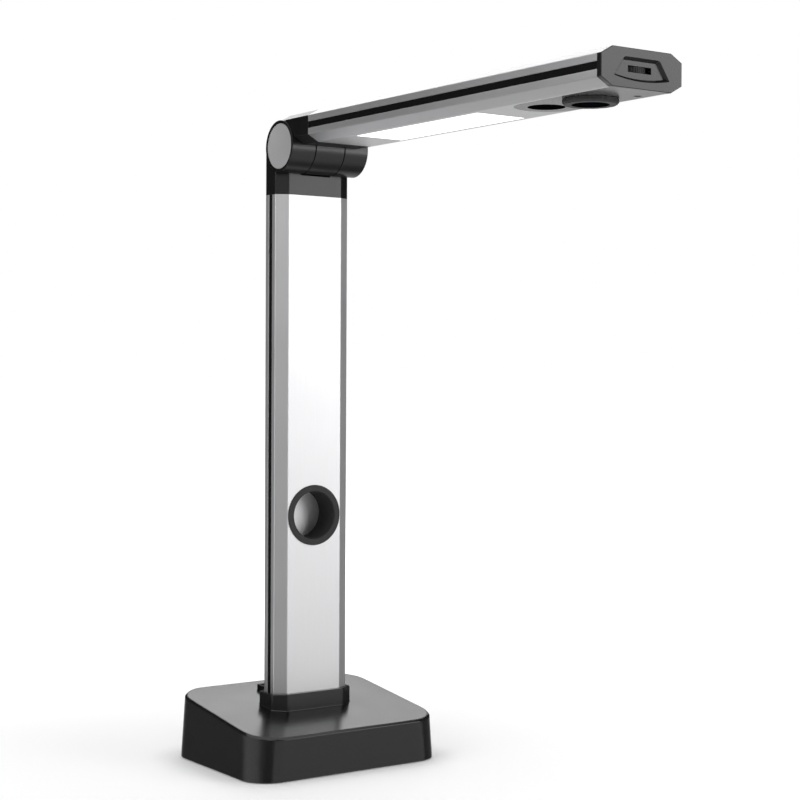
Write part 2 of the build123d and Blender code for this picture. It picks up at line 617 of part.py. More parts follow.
# ================================================================ arm
# Block at the arm's root: the middle knuckle, a web up to the arm's top, and a tenon
arm_screw_places = [(-12.0, ARM_START - 10), (12.0, ARM_START - 10)]
WEB_Y = -24.0
web_half = KNUCKLE_X - KNUCKLE_GAP
with BuildPart() as arm_hinge_block:
    with BuildSketch(across_arm(HINGE_Y)) as block_section:
        profile_outline()
    extrude(amount=HINGE_Y - ARM_START)
    rod(BARREL_R + ARM_CLEARANCE, -HALF_W, HALF_W, mode=Mode.SUBTRACT)
    with BuildSketch(Plane.YZ) as web_side:
        web_top = ARM_BOTTOM + PROFILE_D
        with Locations((HINGE_Y, HINGE_Z)):
            Circle(BARREL_R)
        Polygon(
            (HINGE_Y, HINGE_Z),
            barrel_tangent(WEB_Y, web_top, -1),
            (WEB_Y, web_top),
            (ARM_START, web_top),
            (ARM_START, ARM_BOTTOM),
            align=None,
        )
    extrude(amount=web_half, both=True)
    with BuildSketch(across_arm(ARM_START)) as arm_tenon:
        cavity_outline(SLIP)
    extrude(amount=TENON)
    disc(SCREW_R + THREAD_SLIP, ARM_Z, CAVITY_TOP, arm_screw_places, mode=Mode.SUBTRACT)
    peg(WIRE_R + 0.5, HINGE_Y - 17, ARM_START - TENON, [(WIRE_X, ARM_Z)], mode=Mode.SUBTRACT)
    rod(BUSHING_R, -web_half, web_half, mode=Mode.SUBTRACT)
arm_hinge_block.part.label = "arm_hinge_block"
export_step(arm_hinge_block.part, "parts/arm_hinge_block.step")

# Plain bearing in the middle knuckle, running on the shaft
with BuildPart() as hinge_bushing:
    rod(BUSHING_R, -web_half, web_half)
    rod(SHAFT_R + 0.05, -web_half, web_half, mode=Mode.SUBTRACT)
hinge_bushing.part.label = "hinge_bushing"
export_step(hinge_bushing.part, "parts/hinge_bushing.step")


def camera_plate_outline(shrink=0.0):
    """Half-rounded plate under the arm's end, moved inwards by shrink, on the active sketch."""
    with Locations((0, PLATE_Y)):
        Circle(PLATE_R - shrink)
    with Locations((0, (PLATE_Y + ARM_END) / 2)):
        Rectangle(2 * (PLATE_R - shrink), PLATE_Y - ARM_END)


LED_MID = (LED_START + LED_END) / 2
LED_L = LED_START - LED_END
with BuildPart() as arm_extrusion:
    with BuildSketch(across_arm(ARM_START)) as arm_section:
        profile_section()
    extrude(amount=ARM_START - ARM_END)
    slab(LED_W, LED_L, ARM_BOTTOM - 1, ARM_BOTTOM + WALL + 0.5, [(0, LED_MID)], mode=Mode.SUBTRACT)
    with BuildSketch(Plane.XY.offset(ARM_BOTTOM - 1)) as plate_room:
        camera_plate_outline()
    extrude(amount=PLATE_T + 1.1, mode=Mode.SUBTRACT)
    disc(SCREW_R + 0.1, ARM_Z, ARM_Z + HALF_D + 1, arm_screw_places, mode=Mode.SUBTRACT)
    arm_seat = ARM_Z + HALF_D - SMALL_HEAD_SINK
    disc(SMALL_HEAD_R + 0.1, arm_seat, arm_seat + 2, arm_screw_places, mode=Mode.SUBTRACT)
arm_extrusion.part.label = "arm_extrusion"
export_step(arm_extrusion.part, "parts/arm_extrusion.step")

with BuildPart() as arm_screws:
    disc(SCREW_R, ARM_Z + 1, arm_seat, arm_screw_places)
    disc(SMALL_HEAD_R, arm_seat, arm_seat + SMALL_HEAD_T, arm_screw_places)
arm_screws.part.label = "arm_screws"
export_step(arm_screws.part, "parts/arm_screws.step")

# Dark strips in the grooves along both sides of the arm
for side, name in ((-1, "left"), (1, "right")):
    with BuildPart() as arm_strip:
        with BuildSketch(across_arm(ARM_START)) as arm_strip_section:
            groove_strip(side)
        extrude(amount=ARM_START - ARM_END)
    arm_strip.part.label = f"arm_strip_{name}"
    export_step(arm_strip.part, f"parts/arm_strip_{name}.step")

# Lamp: a milky window flush with the arm's underside, a white frame, and a board of lights
FLANGE = 1.2
DIFFUSER_TOP = ARM_BOTTOM + WALL + 1.0
FRAME_TOP = DIFFUSER_TOP + 3.0
with BuildPart() as lamp_diffuser:
    slab(LED_W - 0.2, LED_L - 0.2, ARM_BOTTOM + 0.1, ARM_BOTTOM + WALL, [(0, LED_MID)])
    slab(LED_W + 2 * FLANGE, LED_L + 2 * FLANGE, ARM_BOTTOM + WALL, DIFFUSER_TOP, [(0, LED_MID)])
lamp_diffuser.part.label = "lamp_diffuser"
export_step(lamp_diffuser.part, "parts/lamp_diffuser.step")

with BuildPart() as lamp_frame:
    slab(LED_W + 2 * FLANGE, LED_L + 2 * FLANGE, DIFFUSER_TOP, FRAME_TOP, [(0, LED_MID)])
    slab(LED_W - 1, LED_L - 1, DIFFUSER_TOP, FRAME_TOP, [(0, LED_MID)], mode=Mode.SUBTRACT)
lamp_frame.part.label = "lamp_frame"
export_step(lamp_frame.part, "parts/lamp_frame.step")

with BuildPart() as lamp_board:
    slab(LED_W + 2 * FLANGE, LED_L + 2 * FLANGE, FRAME_TOP, FRAME_TOP + 1.2, [(0, LED_MID)])
lamp_board.part.label = "lamp_board"
export_step(lamp_board.part, "parts/lamp_board.step")

lamp_places = [(x, LED_MID + (i - 5.5) * 9.0) for x in (-7.0, 7.0) for i in range(12)]
with BuildPart() as lamp_leds:
    slab(3.0, 3.0, FRAME_TOP - 0.8, FRAME_TOP, lamp_places)
lamp_leds.part.label = "lamp_leds"
export_step(lamp_leds.part, "parts/lamp_leds.step")

# Glossy plate under the arm's end, with holes for both windows, the ring's hub and the microphone
HUB_R = 11.8
with BuildPart() as camera_plate:
    with BuildSketch(Plane.XY.offset(ARM_BOTTOM)) as plate_outline:
        camera_plate_outline(0.1)
    extrude(amount=PLATE_T)
    disc(AUX_R + 0.1, ARM_BOTTOM, PLATE_TOP, [(0, AUX_Y)], mode=Mode.SUBTRACT)
    disc(HUB_R + 0.3, ARM_BOTTOM, PLATE_TOP, [(0, LENS_Y)], mode=Mode.SUBTRACT)
    disc(0.9, ARM_BOTTOM, PLATE_TOP, [(MIC_X, MIC_Y)], mode=Mode.SUBTRACT)
    disc(1.9, ARM_BOTTOM, ARM_BOTTOM + 0.6, [(MIC_X, MIC_Y)], mode=Mode.SUBTRACT)
camera_plate.part.label = "camera_plate"
export_step(camera_plate.part, "parts/camera_plate.step")

# Flush black window and the small sensor behind it
with BuildPart() as aux_window:
    disc(AUX_R, ARM_BOTTOM, PLATE_TOP - 0.4, [(0, AUX_Y)])
aux_window.part.label = "aux_window"
export_step(aux_window.part, "parts/aux_window.step")

with BuildPart() as aux_sensor:
    slab(11.0, 11.0, PLATE_TOP, PLATE_TOP + 1.2, [(0, AUX_Y)])
    disc(3.2, PLATE_TOP - 0.3, PLATE_TOP, [(0, AUX_Y)])
aux_sensor.part.label = "aux_sensor"
export_step(aux_sensor.part, "parts/aux_sensor.step")

# Camera: a fixed tube under the sensor board
TUBE_WALL = 2.4
TUBE_BOTTOM = PLATE_TOP + 0.5
SENSOR_BOARD_Z = CAVITY_TOP - 2.0
tube_outer = LENS_TUBE_R + TUBE_WALL
lens_place = [(0, LENS_Y)]
with BuildPart() as lens_housing:
    disc(tube_outer, TUBE_BOTTOM, SENSOR_BOARD_Z, lens_place)
    disc(tube_outer + 2.6, SENSOR_BOARD_Z - 2, SENSOR_BOARD_Z, lens_place)
    disc(LENS_TUBE_R, TUBE_BOTTOM, SENSOR_BOARD_Z, lens_place, mode=Mode.SUBTRACT)
lens_housing.part.label = "lens_housing"
export_step(lens_housing.part, "parts/lens_housing.step")

with BuildPart() as sensor_board:
    slab(30.0, 28.0, SENSOR_BOARD_Z, SENSOR_BOARD_Z + 1.2, lens_place)
sensor_board.part.label = "sensor_board"
export_step(sensor_board.part, "parts/sensor_board.step")

with BuildPart() as image_sensor:
    slab(8.0, 7.0, SENSOR_BOARD_Z - 0.9, SENSOR_BOARD_Z, lens_place)
image_sensor.part.label = "image_sensor"
export_step(image_sensor.part, "parts/image_sensor.step")

with BuildPart() as microphone:
    disc(2.2, PLATE_TOP, PLATE_TOP + 2.4, [(MIC_X, MIC_Y)])
microphone.part.label = "microphone"
export_step(microphone.part, "parts/microphone.step")

# Wires along the arm, above the lamp
with BuildPart() as arm_wires:
    peg(WIRE_R, ARM_START - TENON - 0.5, LENS_Y + 14.5, [(WIRE_X, ARM_Z + 3)])
    peg(WIRE_R, HINGE_Y - 17.5, ARM_START - TENON - 2, [(WIRE_X, ARM_Z)])
    slab(2 * WIRE_R, 2.0, ARM_Z - 1, ARM_Z + 4, [(WIRE_X, ARM_START - TENON - 1.5)])
arm_wires.part.label = "arm_wires"
export_step(arm_wires.part, "parts/arm_wires.step")

# ================================================================ focus ring and lens
# Ring with shallow finger flutes; it turns on the fixed tube and carries the glass and the lens
SKIRT_TOP = ARM_BOTTOM - 0.3
HUB_TOP = PLATE_TOP + 2.4
RIM_CHAMFER = 0.9
GLASS_R = 9.0
GLASS_T = 1.3
flute_r = 2.8
with BuildPart() as focus_ring:
    disc(RING_R, RING_BOTTOM, SKIRT_TOP, lens_place)
    with BuildSketch(Plane.XY.offset(RING_BOTTOM)) as flutes:
        with Locations((0, LENS_Y)):
            with PolarLocations(RING_R + flute_r - 0.3, RING_FLUTES):
                Circle(flute_r)
    extrude(amount=SKIRT_TOP - RING_BOTTOM, mode=Mode.SUBTRACT)
    chamfer(focus_ring.faces().sort_by(Axis.Z)[0].edges(), length=RIM_CHAMFER)
    disc(HUB_R, SKIRT_TOP, HUB_TOP, lens_place)
    disc(GLASS_R + 0.05, RING_BOTTOM, RING_BOTTOM + GLASS_T + 0.1, lens_place, mode=Mode.SUBTRACT)
    disc(LENS_TUBE_R - 1.5, RING_BOTTOM, HUB_TOP, lens_place, mode=Mode.SUBTRACT)
    disc(tube_outer + 0.06, SKIRT_TOP + 0.4, HUB_TOP, lens_place, mode=Mode.SUBTRACT)
focus_ring.part.label = "focus_ring"
export_step(focus_ring.part, "parts/focus_ring.step")

with BuildPart() as lens_glass:
    disc(GLASS_R, RING_BOTTOM + 0.1, RING_BOTTOM + GLASS_T + 0.1, lens_place)
lens_glass.part.label = "lens_glass"
export_step(lens_glass.part, "parts/lens_glass.step")

# Threaded barrel of the lens, running in the fixed tube, and the glass elements in it
BARREL_BOTTOM = SKIRT_TOP + 0.4
BARREL_TOP = SENSOR_BOARD_Z - 4.0
with BuildPart() as lens_barrel:
    disc(LENS_TUBE_R - 0.05, BARREL_BOTTOM, BARREL_TOP, lens_place)
    disc(LENS_TUBE_R - 1.6, BARREL_BOTTOM, BARREL_TOP, lens_place, mode=Mode.SUBTRACT)
lens_barrel.part.label = "lens_barrel"
export_step(lens_barrel.part, "parts/lens_barrel.step")

element_r = LENS_TUBE_R - 1.6
with BuildPart() as lens_elements:
    disc(element_r, BARREL_BOTTOM + 1.0, BARREL_BOTTOM + 3.0, lens_place)
    disc(element_r, BARREL_BOTTOM + 4.5, BARREL_BOTTOM + 6.0, lens_place)
    disc(element_r, BARREL_BOTTOM + 8.0, BARREL_BOTTOM + 10.0, lens_place)
lens_elements.part.label = "lens_elements"
export_step(lens_elements.part, "parts/lens_elements.step")

# Clip on the hub above the plate, which keeps the ring in
with BuildPart() as ring_clip:
    disc(HUB_R + 1.8, PLATE_TOP + 0.4, PLATE_TOP + 1.0, lens_place)
    disc(HUB_R, PLATE_TOP + 0.4, PLATE_TOP + 1.0, lens_place, mode=Mode.SUBTRACT)
ring_clip.part.label = "ring_clip"
export_step(ring_clip.part, "parts/ring_clip.step")

# ================================================================ end cap and dimmer
RECESS_TOP = 5.0
RECESS_TOP_HALF = 10.8
RECESS_LOW = -4.0
RECESS_LOW_HALF = 17.0
RECESS_SAG = 1.75
RECESS_DRAFT = 1.3
WINDOW = (14.4, 3.1)


def recess_outline(inset=0.0):
    """Trapezoid with rounded upper corners and a sagging lower edge, moved inwards by inset."""
    with BuildLine() as recess_edges:
        top_left = (-RECESS_TOP_HALF, RECESS_TOP)
        low_left = (-RECESS_LOW_HALF, RECESS_LOW)
        low_right = (RECESS_LOW_HALF, RECESS_LOW)
        top_right = (RECESS_TOP_HALF, RECESS_TOP)
        Polyline(low_right, top_right, top_left, low_left)
        ThreePointArc(low_left, (0, RECESS_LOW - RECESS_SAG), low_right)
    outline = make_face(recess_edges.edges())
    upper = outline.vertices().sort_by(Axis.Y)[-2:]
    fillet(upper, radius=2.2)
    if inset:
        offset(amount=-inset, kind=Kind.INTERSECTION, mode=Mode.REPLACE)


with BuildPart() as end_cap:
    with BuildSketch(across_arm(ARM_END)) as cap_outline:
        profile_outline()
    extrude(amount=ARM_END - CAP_FACE)
    chamfer(end_cap.faces().sort_by(Axis.Y)[0].edges(), length=0.25)
    with BuildSketch(across_arm(ARM_END)) as cap_plug:
        cavity_outline(SLIP)
        cavity_outline(SLIP + 1.4, mode=Mode.SUBTRACT)
    extrude(amount=-8.0)
    slab(2 * PLATE_R + 1, 20.0, ARM_BOTTOM, PLATE_TOP + 1.8, [(0, ARM_END + 10)], mode=Mode.SUBTRACT)
    with BuildSketch(across_arm(CAP_FACE)) as recess_mouth:
        recess_outline()
    with BuildSketch(across_arm(CAP_FACE + RECESS_DEPTH)) as recess_floor:
        recess_outline(RECESS_DRAFT)
    loft(mode=Mode.SUBTRACT)
    with BuildSketch(across_arm(CAP_FACE)) as wheel_window:
        Rectangle(*WINDOW)
    extrude(amount=CAP_FACE - ARM_END - 1, mode=Mode.SUBTRACT)
end_cap.part.label = "end_cap"
export_step(end_cap.part, "parts/end_cap.step")

# Ridged thumbwheel that dims the lamp, on its spindle
SPINDLE_R = 1.5
POT_TOP = ARM_Z - WHEEL_T / 2 - 0.4
POT_BOTTOM = PLATE_TOP + 1.6
wheel_place = [(0, WHEEL_Y)]
with BuildPart() as dimmer_wheel:
    disc(WHEEL_R, ARM_Z - WHEEL_T / 2, ARM_Z + WHEEL_T / 2, wheel_place)
    with BuildSketch(Plane.XY.offset(ARM_Z - WHEEL_T / 2)) as ridges:
        with Locations((0, WHEEL_Y)):
            with PolarLocations(WHEEL_R + 0.05, WHEEL_RIDGES):
                Circle(0.36)
    extrude(amount=WHEEL_T, mode=Mode.SUBTRACT)
    disc(SPINDLE_R, POT_BOTTOM + 0.4, ARM_Z, wheel_place)
dimmer_wheel.part.label = "dimmer_wheel"
export_step(dimmer_wheel.part, "parts/dimmer_wheel.step")

# Rotary control under the wheel, and its board
with BuildPart() as dimmer_control:
    disc(5.0, POT_BOTTOM, POT_TOP, wheel_place)
    disc(SPINDLE_R + 0.06, POT_BOTTOM + 0.3, POT_TOP, wheel_place, mode=Mode.SUBTRACT)
dimmer_control.part.label = "dimmer_control"
export_step(dimmer_control.part, "parts/dimmer_control.step")

with BuildPart() as dimmer_board:
    slab(15.0, 12.0, PLATE_TOP + 0.4, POT_BOTTOM, [(0, WHEEL_Y + 0.5)])
dimmer_board.part.label = "dimmer_board"
export_step(dimmer_board.part, "parts/dimmer_board.step")
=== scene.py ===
import bmesh
import bpy
import json
import math
from mathutils import Matrix, Vector


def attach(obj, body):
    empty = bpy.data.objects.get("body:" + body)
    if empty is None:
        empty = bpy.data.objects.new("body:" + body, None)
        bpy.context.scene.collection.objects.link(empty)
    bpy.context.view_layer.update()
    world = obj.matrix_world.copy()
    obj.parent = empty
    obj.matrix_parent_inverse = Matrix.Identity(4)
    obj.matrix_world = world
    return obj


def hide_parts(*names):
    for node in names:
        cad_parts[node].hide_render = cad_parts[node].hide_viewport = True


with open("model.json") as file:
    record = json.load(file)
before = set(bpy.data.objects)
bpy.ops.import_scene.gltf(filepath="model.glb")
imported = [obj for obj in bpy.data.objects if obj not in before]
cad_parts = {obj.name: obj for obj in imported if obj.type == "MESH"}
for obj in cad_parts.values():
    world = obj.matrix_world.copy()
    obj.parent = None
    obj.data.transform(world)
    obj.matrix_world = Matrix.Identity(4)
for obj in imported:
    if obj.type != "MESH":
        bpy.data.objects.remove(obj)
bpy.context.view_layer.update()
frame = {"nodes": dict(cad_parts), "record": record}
nodes = frame["nodes"]
MM = 0.001

# ------------------------------------------------------------------ camera
CAMERA_AT = (-0.5514, -0.88055, 0.2305)
CAMERA_AZIMUTH = -35.12
CAMERA_PITCH = 1.059
CAMERA_ROLL = 0.285
LENS = 78.87


def make_camera():
    a, e, r = (math.radians(v) for v in (CAMERA_AZIMUTH, CAMERA_PITCH, CAMERA_ROLL))
    back = Vector((math.sin(a) * math.cos(e), -math.cos(a) * math.cos(e), math.sin(e)))
    right = Vector((math.cos(a), math.sin(a), 0))
    up = back.cross(right)
    turned_right = right * math.cos(r) + up * math.sin(r)
    turned_up = up * math.cos(r) - right * math.sin(r)
    data = bpy.data.cameras.new("camera")
    data.lens = LENS
    data.sensor_width = 36.0
    data.clip_start = 0.01
    data.clip_end = 60.0
    camera = bpy.data.objects.new("camera", data)
    bpy.context.scene.collection.objects.link(camera)
    axes = Matrix((turned_right, turned_up, back)).transposed()
    camera.matrix_world = Matrix.Translation(CAMERA_AT) @ axes.to_4x4()
    bpy.context.scene.camera = camera


make_camera()


# ------------------------------------------------------------------ node helpers
def link(tree, source, socket):
    """Connects an output socket, or sets a plain value, on a socket."""
    if isinstance(source, bpy.types.NodeSocket):
        tree.links.new(source, socket)
    else:
        socket.default_value = source


def math_node(tree, operation, *inputs, clamp=False):
    node = tree.nodes.new("ShaderNodeMath")
    node.operation = operation
    node.use_clamp = clamp
    for i, value in enumerate(inputs):
        link(tree, value, node.inputs[i])
    return node.outputs[0]


def hypotenuse(tree, x, y):
    squares = math_node(tree, "ADD", math_node(tree, "MULTIPLY", x, x), math_node(tree, "MULTIPLY", y, y))
    return math_node(tree, "SQRT", squares)


def remap(tree, value, from_low, from_high, to_low, to_high, smooth=False):
    node = tree.nodes.new("ShaderNodeMapRange")
    node.clamp = True
    if smooth:
        node.interpolation_type = "SMOOTHSTEP"
    link(tree, value, node.inputs["Value"])
    link(tree, from_low, node.inputs["From Min"])
    link(tree, from_high, node.inputs["From Max"])
    link(tree, to_low, node.inputs["To Min"])
    link(tree, to_high, node.inputs["To Max"])
    return node.outputs["Result"]


# ------------------------------------------------------------------ studio light
SKY = 0.06
SKY_FULL = 0.7
HORIZON = 0.05
# Pale floor seen in reflections: from and to an azimuth in degrees, its radiance, and the width of
# its soft edge in degrees
GROUND = [(-14, 60, 0.85, 12), (-126, -60, 1.25, 44), (118, 176, 0.65, 16)]
GROUND_LEVEL = 0.16
# Each light: azimuth (0 in front of the object, 90 on its right), distance from the column, height of
# its middle, width and height, all in metres, and its radiance
LIGHTS = {
    "key_low": (37, 1.3, 0.30, 0.7, 0.3, 4.1),
    "key_mid": (37, 1.3, 0.65, 0.7, 0.35, 3.45),
    "front_left": (-28, 1.3, 0.9, 0.6, 0.9, 1.35),
    "left": (-86, 1.3, 0.85, 1.2, 0.6, 2.6),
    "behind_right_high": (150, 1.5, 1.0, 1.4, 0.8, 2.3),
    "top": (0, 0.01, 1.9, 2.8, 2.4, 1.4),
}
AIM_HEIGHT = 0.2


def make_world():
    """Even, soft light that fades towards the floor; the camera itself sees a white backdrop."""
    world = bpy.data.worlds.new("studio")
    bpy.context.scene.world = world
    world.use_nodes = True
    tree = world.node_tree
    tree.nodes.clear()
    direction = tree.nodes.new("ShaderNodeTexCoord").outputs["Generated"]
    xyz = tree.nodes.new("ShaderNodeSeparateXYZ")
    tree.links.new(direction, xyz.inputs[0])
    sky = remap(tree, xyz.outputs["Z"], 0.0, SKY_FULL, 0.0, SKY, smooth=True)
    below = remap(tree, xyz.outputs["Z"], HORIZON, -HORIZON, 0.0, 1.0, smooth=True)
    forward = math_node(tree, "MULTIPLY", xyz.outputs["Y"], -1.0)
    azimuth = math_node(tree, "ARCTAN2", xyz.outputs["X"], forward)
    floor_level = GROUND_LEVEL
    for start, end, strength, edge in GROUND:
        away = math_node(tree, "SUBTRACT", azimuth, math.radians((start + end) / 2))
        away = math_node(tree, "ABSOLUTE", math_node(tree, "WRAP", away, math.pi, -math.pi))
        half = math.radians((end - start) / 2)
        soft = math.radians(edge)
        panel = remap(tree, away, half + soft / 2, half - soft / 2, 0.0, strength, smooth=True)
        floor_level = math_node(tree, "ADD", panel, floor_level)
    level = math_node(tree, "ADD", sky, math_node(tree, "MULTIPLY", below, floor_level))
    light = tree.nodes.new("ShaderNodeBackground")
    tree.links.new(level, light.inputs["Strength"])
    backdrop = tree.nodes.new("ShaderNodeBackground")
    backdrop.inputs["Strength"].default_value = 1.0
    backdrop.inputs["Color"].default_value = (1, 1, 1, 1)
    mix = tree.nodes.new("ShaderNodeMixShader")
    tree.links.new(tree.nodes.new("ShaderNodeLightPath").outputs["Is Camera Ray"], mix.inputs[0])
    tree.links.new(light.outputs[0], mix.inputs[1])
    tree.links.new(backdrop.outputs[0], mix.inputs[2])
    tree.links.new(mix.outputs[0], tree.nodes.new("ShaderNodeOutputWorld").inputs[0])


def softbox(name, azimuth, distance, height, width, tall, radiance):
    """Rectangular soft light that faces the column."""
    a = math.radians(azimuth)
    data = bpy.data.lights.new(name, "AREA")
    data.shape = "RECTANGLE"
    data.size = width
    data.size_y = tall
    data.energy = radiance * math.pi * width * tall
    lamp = bpy.data.objects.new(name, data)
    bpy.context.scene.collection.objects.link(lamp)
    place = Vector((math.sin(a) * distance, -math.cos(a) * distance, height))
    lamp.location = place
    lamp.rotation_euler = (place - Vector((0, 0, AIM_HEIGHT))).to_track_quat("Z", "Y").to_euler()
    lamp.visible_camera = False


make_world()
bpy.context.scene.view_settings.view_transform = "Standard"
for name, settings in LIGHTS.items():
    softbox(name, *settings)


FLOOR_ALBEDO = 0.86
FLOOR_RADIUS = 30.0
FLOOR_DROP = 0.0002
# Floor emission, painted light: weakest near the object, full far away, around a middle set a little to the
# left
GLOW_NEAR = 0.19
GLOW_FAR = 1.0
GLOW_MIDDLE_X = -0.03
GLOW_START = 0.10
GLOW_END = 0.8
# The base on the floor: half width and half depth, its middle, and how far the painted contact shadow around
# it reaches
BASE_HALF = (0.064, 0.0502)
BASE_MIDDLE_Y = -0.0022
BASE_CORNER = 0.0173
CONTACT_REACH = 0.02
CONTACT_DEPTH = 0.12


def make_floor():
    """Pale floor with painted light: its emission is weakest near the object and brightens to a seamless
    white away from it, and a painted contact shadow takes emission away next to the base.
    """
    mesh = bpy.data.meshes.new("floor")
    bm = bmesh.new()
    bmesh.ops.create_circle(bm, cap_ends=True, segments=96, radius=FLOOR_RADIUS)
    bm.to_mesh(mesh)
    bm.free()
    floor = bpy.data.objects.new("floor", mesh)
    bpy.context.scene.collection.objects.link(floor)
    floor.location.z = -FLOOR_DROP
    floor.visible_glossy = False
    material = bpy.data.materials.new("floor")
    material.use_nodes = True
    tree = material.node_tree
    shader = tree.nodes["Principled BSDF"]
    shader.inputs["Base Color"].default_value = (FLOOR_ALBEDO, FLOOR_ALBEDO, FLOOR_ALBEDO, 1)
    shader.inputs["Roughness"].default_value = 0.9
    shader.inputs["Specular IOR Level"].default_value = 0.0
    shader.inputs["Emission Color"].default_value = (1, 1, 1, 1)
    at = tree.nodes.new("ShaderNodeSeparateXYZ")
    tree.links.new(tree.nodes.new("ShaderNodeTexCoord").outputs["Object"], at.inputs[0])

    def outside(value, middle, half):
        offset = math_node(tree, "ABSOLUTE", math_node(tree, "SUBTRACT", value, middle))
        return math_node(tree, "MAXIMUM", math_node(tree, "SUBTRACT", offset, half - BASE_CORNER), 0.0)

    # Painted shade around the object: the emission grows from GLOW_NEAR to GLOW_FAR away from a middle moved
    # to the left
    glow_x = math_node(tree, "SUBTRACT", at.outputs["X"], GLOW_MIDDLE_X)
    from_middle = hypotenuse(tree, glow_x, at.outputs["Y"])
    glow = remap(tree, from_middle, GLOW_START, GLOW_END, GLOW_NEAR, GLOW_FAR, smooth=True)
    # Painted contact shadow: emission taken away within CONTACT_REACH of the base's footprint, CONTACT_DEPTH
    # at its edge
    beside_x = outside(at.outputs["X"], 0.0, BASE_HALF[0])
    beside_y = outside(at.outputs["Y"], BASE_MIDDLE_Y, BASE_HALF[1])
    from_base = hypotenuse(tree, beside_x, beside_y)
    contact = remap(tree, from_base, BASE_CORNER, BASE_CORNER + CONTACT_REACH, CONTACT_DEPTH, 0.0)
    tree.links.new(math_node(tree, "SUBTRACT", glow, contact), shader.inputs["Emission Strength"])
    mesh.materials.append(material)


make_floor()


# ------------------------------------------------------------------ materials
PLASTIC_IOR = 1.46
CLOUD = 35.0
# The part of a noise's range that is stretched over a whole change of tone or roughness
NOISE_LOW, NOISE_HIGH = 0.3, 0.7


def surface(name, color, metallic=0.0, roughness=0.4, spread=0.04, tint=0.06, grain=0.25, depth=0.004,
            stretch=(1, 1, 1), emission=0.0, specular=0.5, spun=None):
    """A finish with cloudy roughness, a slight change of tone, and a bump grain. Grain and depth are in mm.
    With spun, the y and z of an axis along X in mm, the grain is rings about that axis."""
    material = bpy.data.materials.new(name)
    material.use_nodes = True
    tree = material.node_tree
    shader = tree.nodes["Principled BSDF"]
    coordinates = tree.nodes.new("ShaderNodeTexCoord").outputs["Object"]
    mapping = tree.nodes.new("ShaderNodeMapping")
    mapping.inputs["Scale"].default_value = stretch
    tree.links.new(coordinates, mapping.inputs["Vector"])
    grain_at = mapping.outputs["Vector"]
    if spun:
        split_at = tree.nodes.new("ShaderNodeSeparateXYZ")
        tree.links.new(coordinates, split_at.inputs[0])
        dy = math_node(tree, "SUBTRACT", split_at.outputs["Y"], spun[0] * MM)
        dz = math_node(tree, "SUBTRACT", split_at.outputs["Z"], spun[1] * MM)
        rings = tree.nodes.new("ShaderNodeCombineXYZ")
        tree.links.new(hypotenuse(tree, dy, dz), rings.inputs[0])
        grain_at = rings.outputs[0]

    def noise(size, detail, where):
        node = tree.nodes.new("ShaderNodeTexNoise")
        node.inputs["Scale"].default_value = 1.0 / (size * MM)
        node.inputs["Detail"].default_value = detail
        tree.links.new(where, node.inputs["Vector"])
        return node.outputs["Fac"]

    cloud = noise(CLOUD, 3.0, coordinates)
    fine = noise(grain, 2.0, grain_at)
    rough = remap(tree, cloud, NOISE_LOW, NOISE_HIGH, roughness - spread, roughness + spread)
    tree.links.new(rough, shader.inputs["Roughness"])
    ramp = tree.nodes.new("ShaderNodeMix")
    ramp.data_type = "RGBA"
    tree.links.new(remap(tree, fine, NOISE_LOW, NOISE_HIGH, 0.0, 1.0), ramp.inputs["Factor"])
    ramp.inputs["A"].default_value = (*[c * (1 - tint) for c in color], 1)
    ramp.inputs["B"].default_value = (*[min(1.0, c * (1 + tint)) for c in color], 1)
    tree.links.new(ramp.outputs["Result"], shader.inputs["Base Color"])
    bump = tree.nodes.new("ShaderNodeBump")
    bump.inputs["Strength"].default_value = 1.0
    bump.inputs["Distance"].default_value = depth * MM
    tree.links.new(fine, bump.inputs["Height"])
    tree.links.new(bump.outputs["Normal"], shader.inputs["Normal"])
    shader.inputs["Metallic"].default_value = metallic
    shader.inputs["IOR"].default_value = PLASTIC_IOR
    shader.inputs["Specular IOR Level"].default_value = specular
    if emission:
        shader.inputs["Emission Color"].default_value = (1, 1, 1, 1)
        shader.inputs["Emission Strength"].default_value = emission
    return material


# Y and z of the hinge axis in mm
HINGE = (-10.95, 357.9)
SILVER = (0.86, 0.86, 0.87)
COLUMN_SILVER = (0.79, 0.79, 0.8)
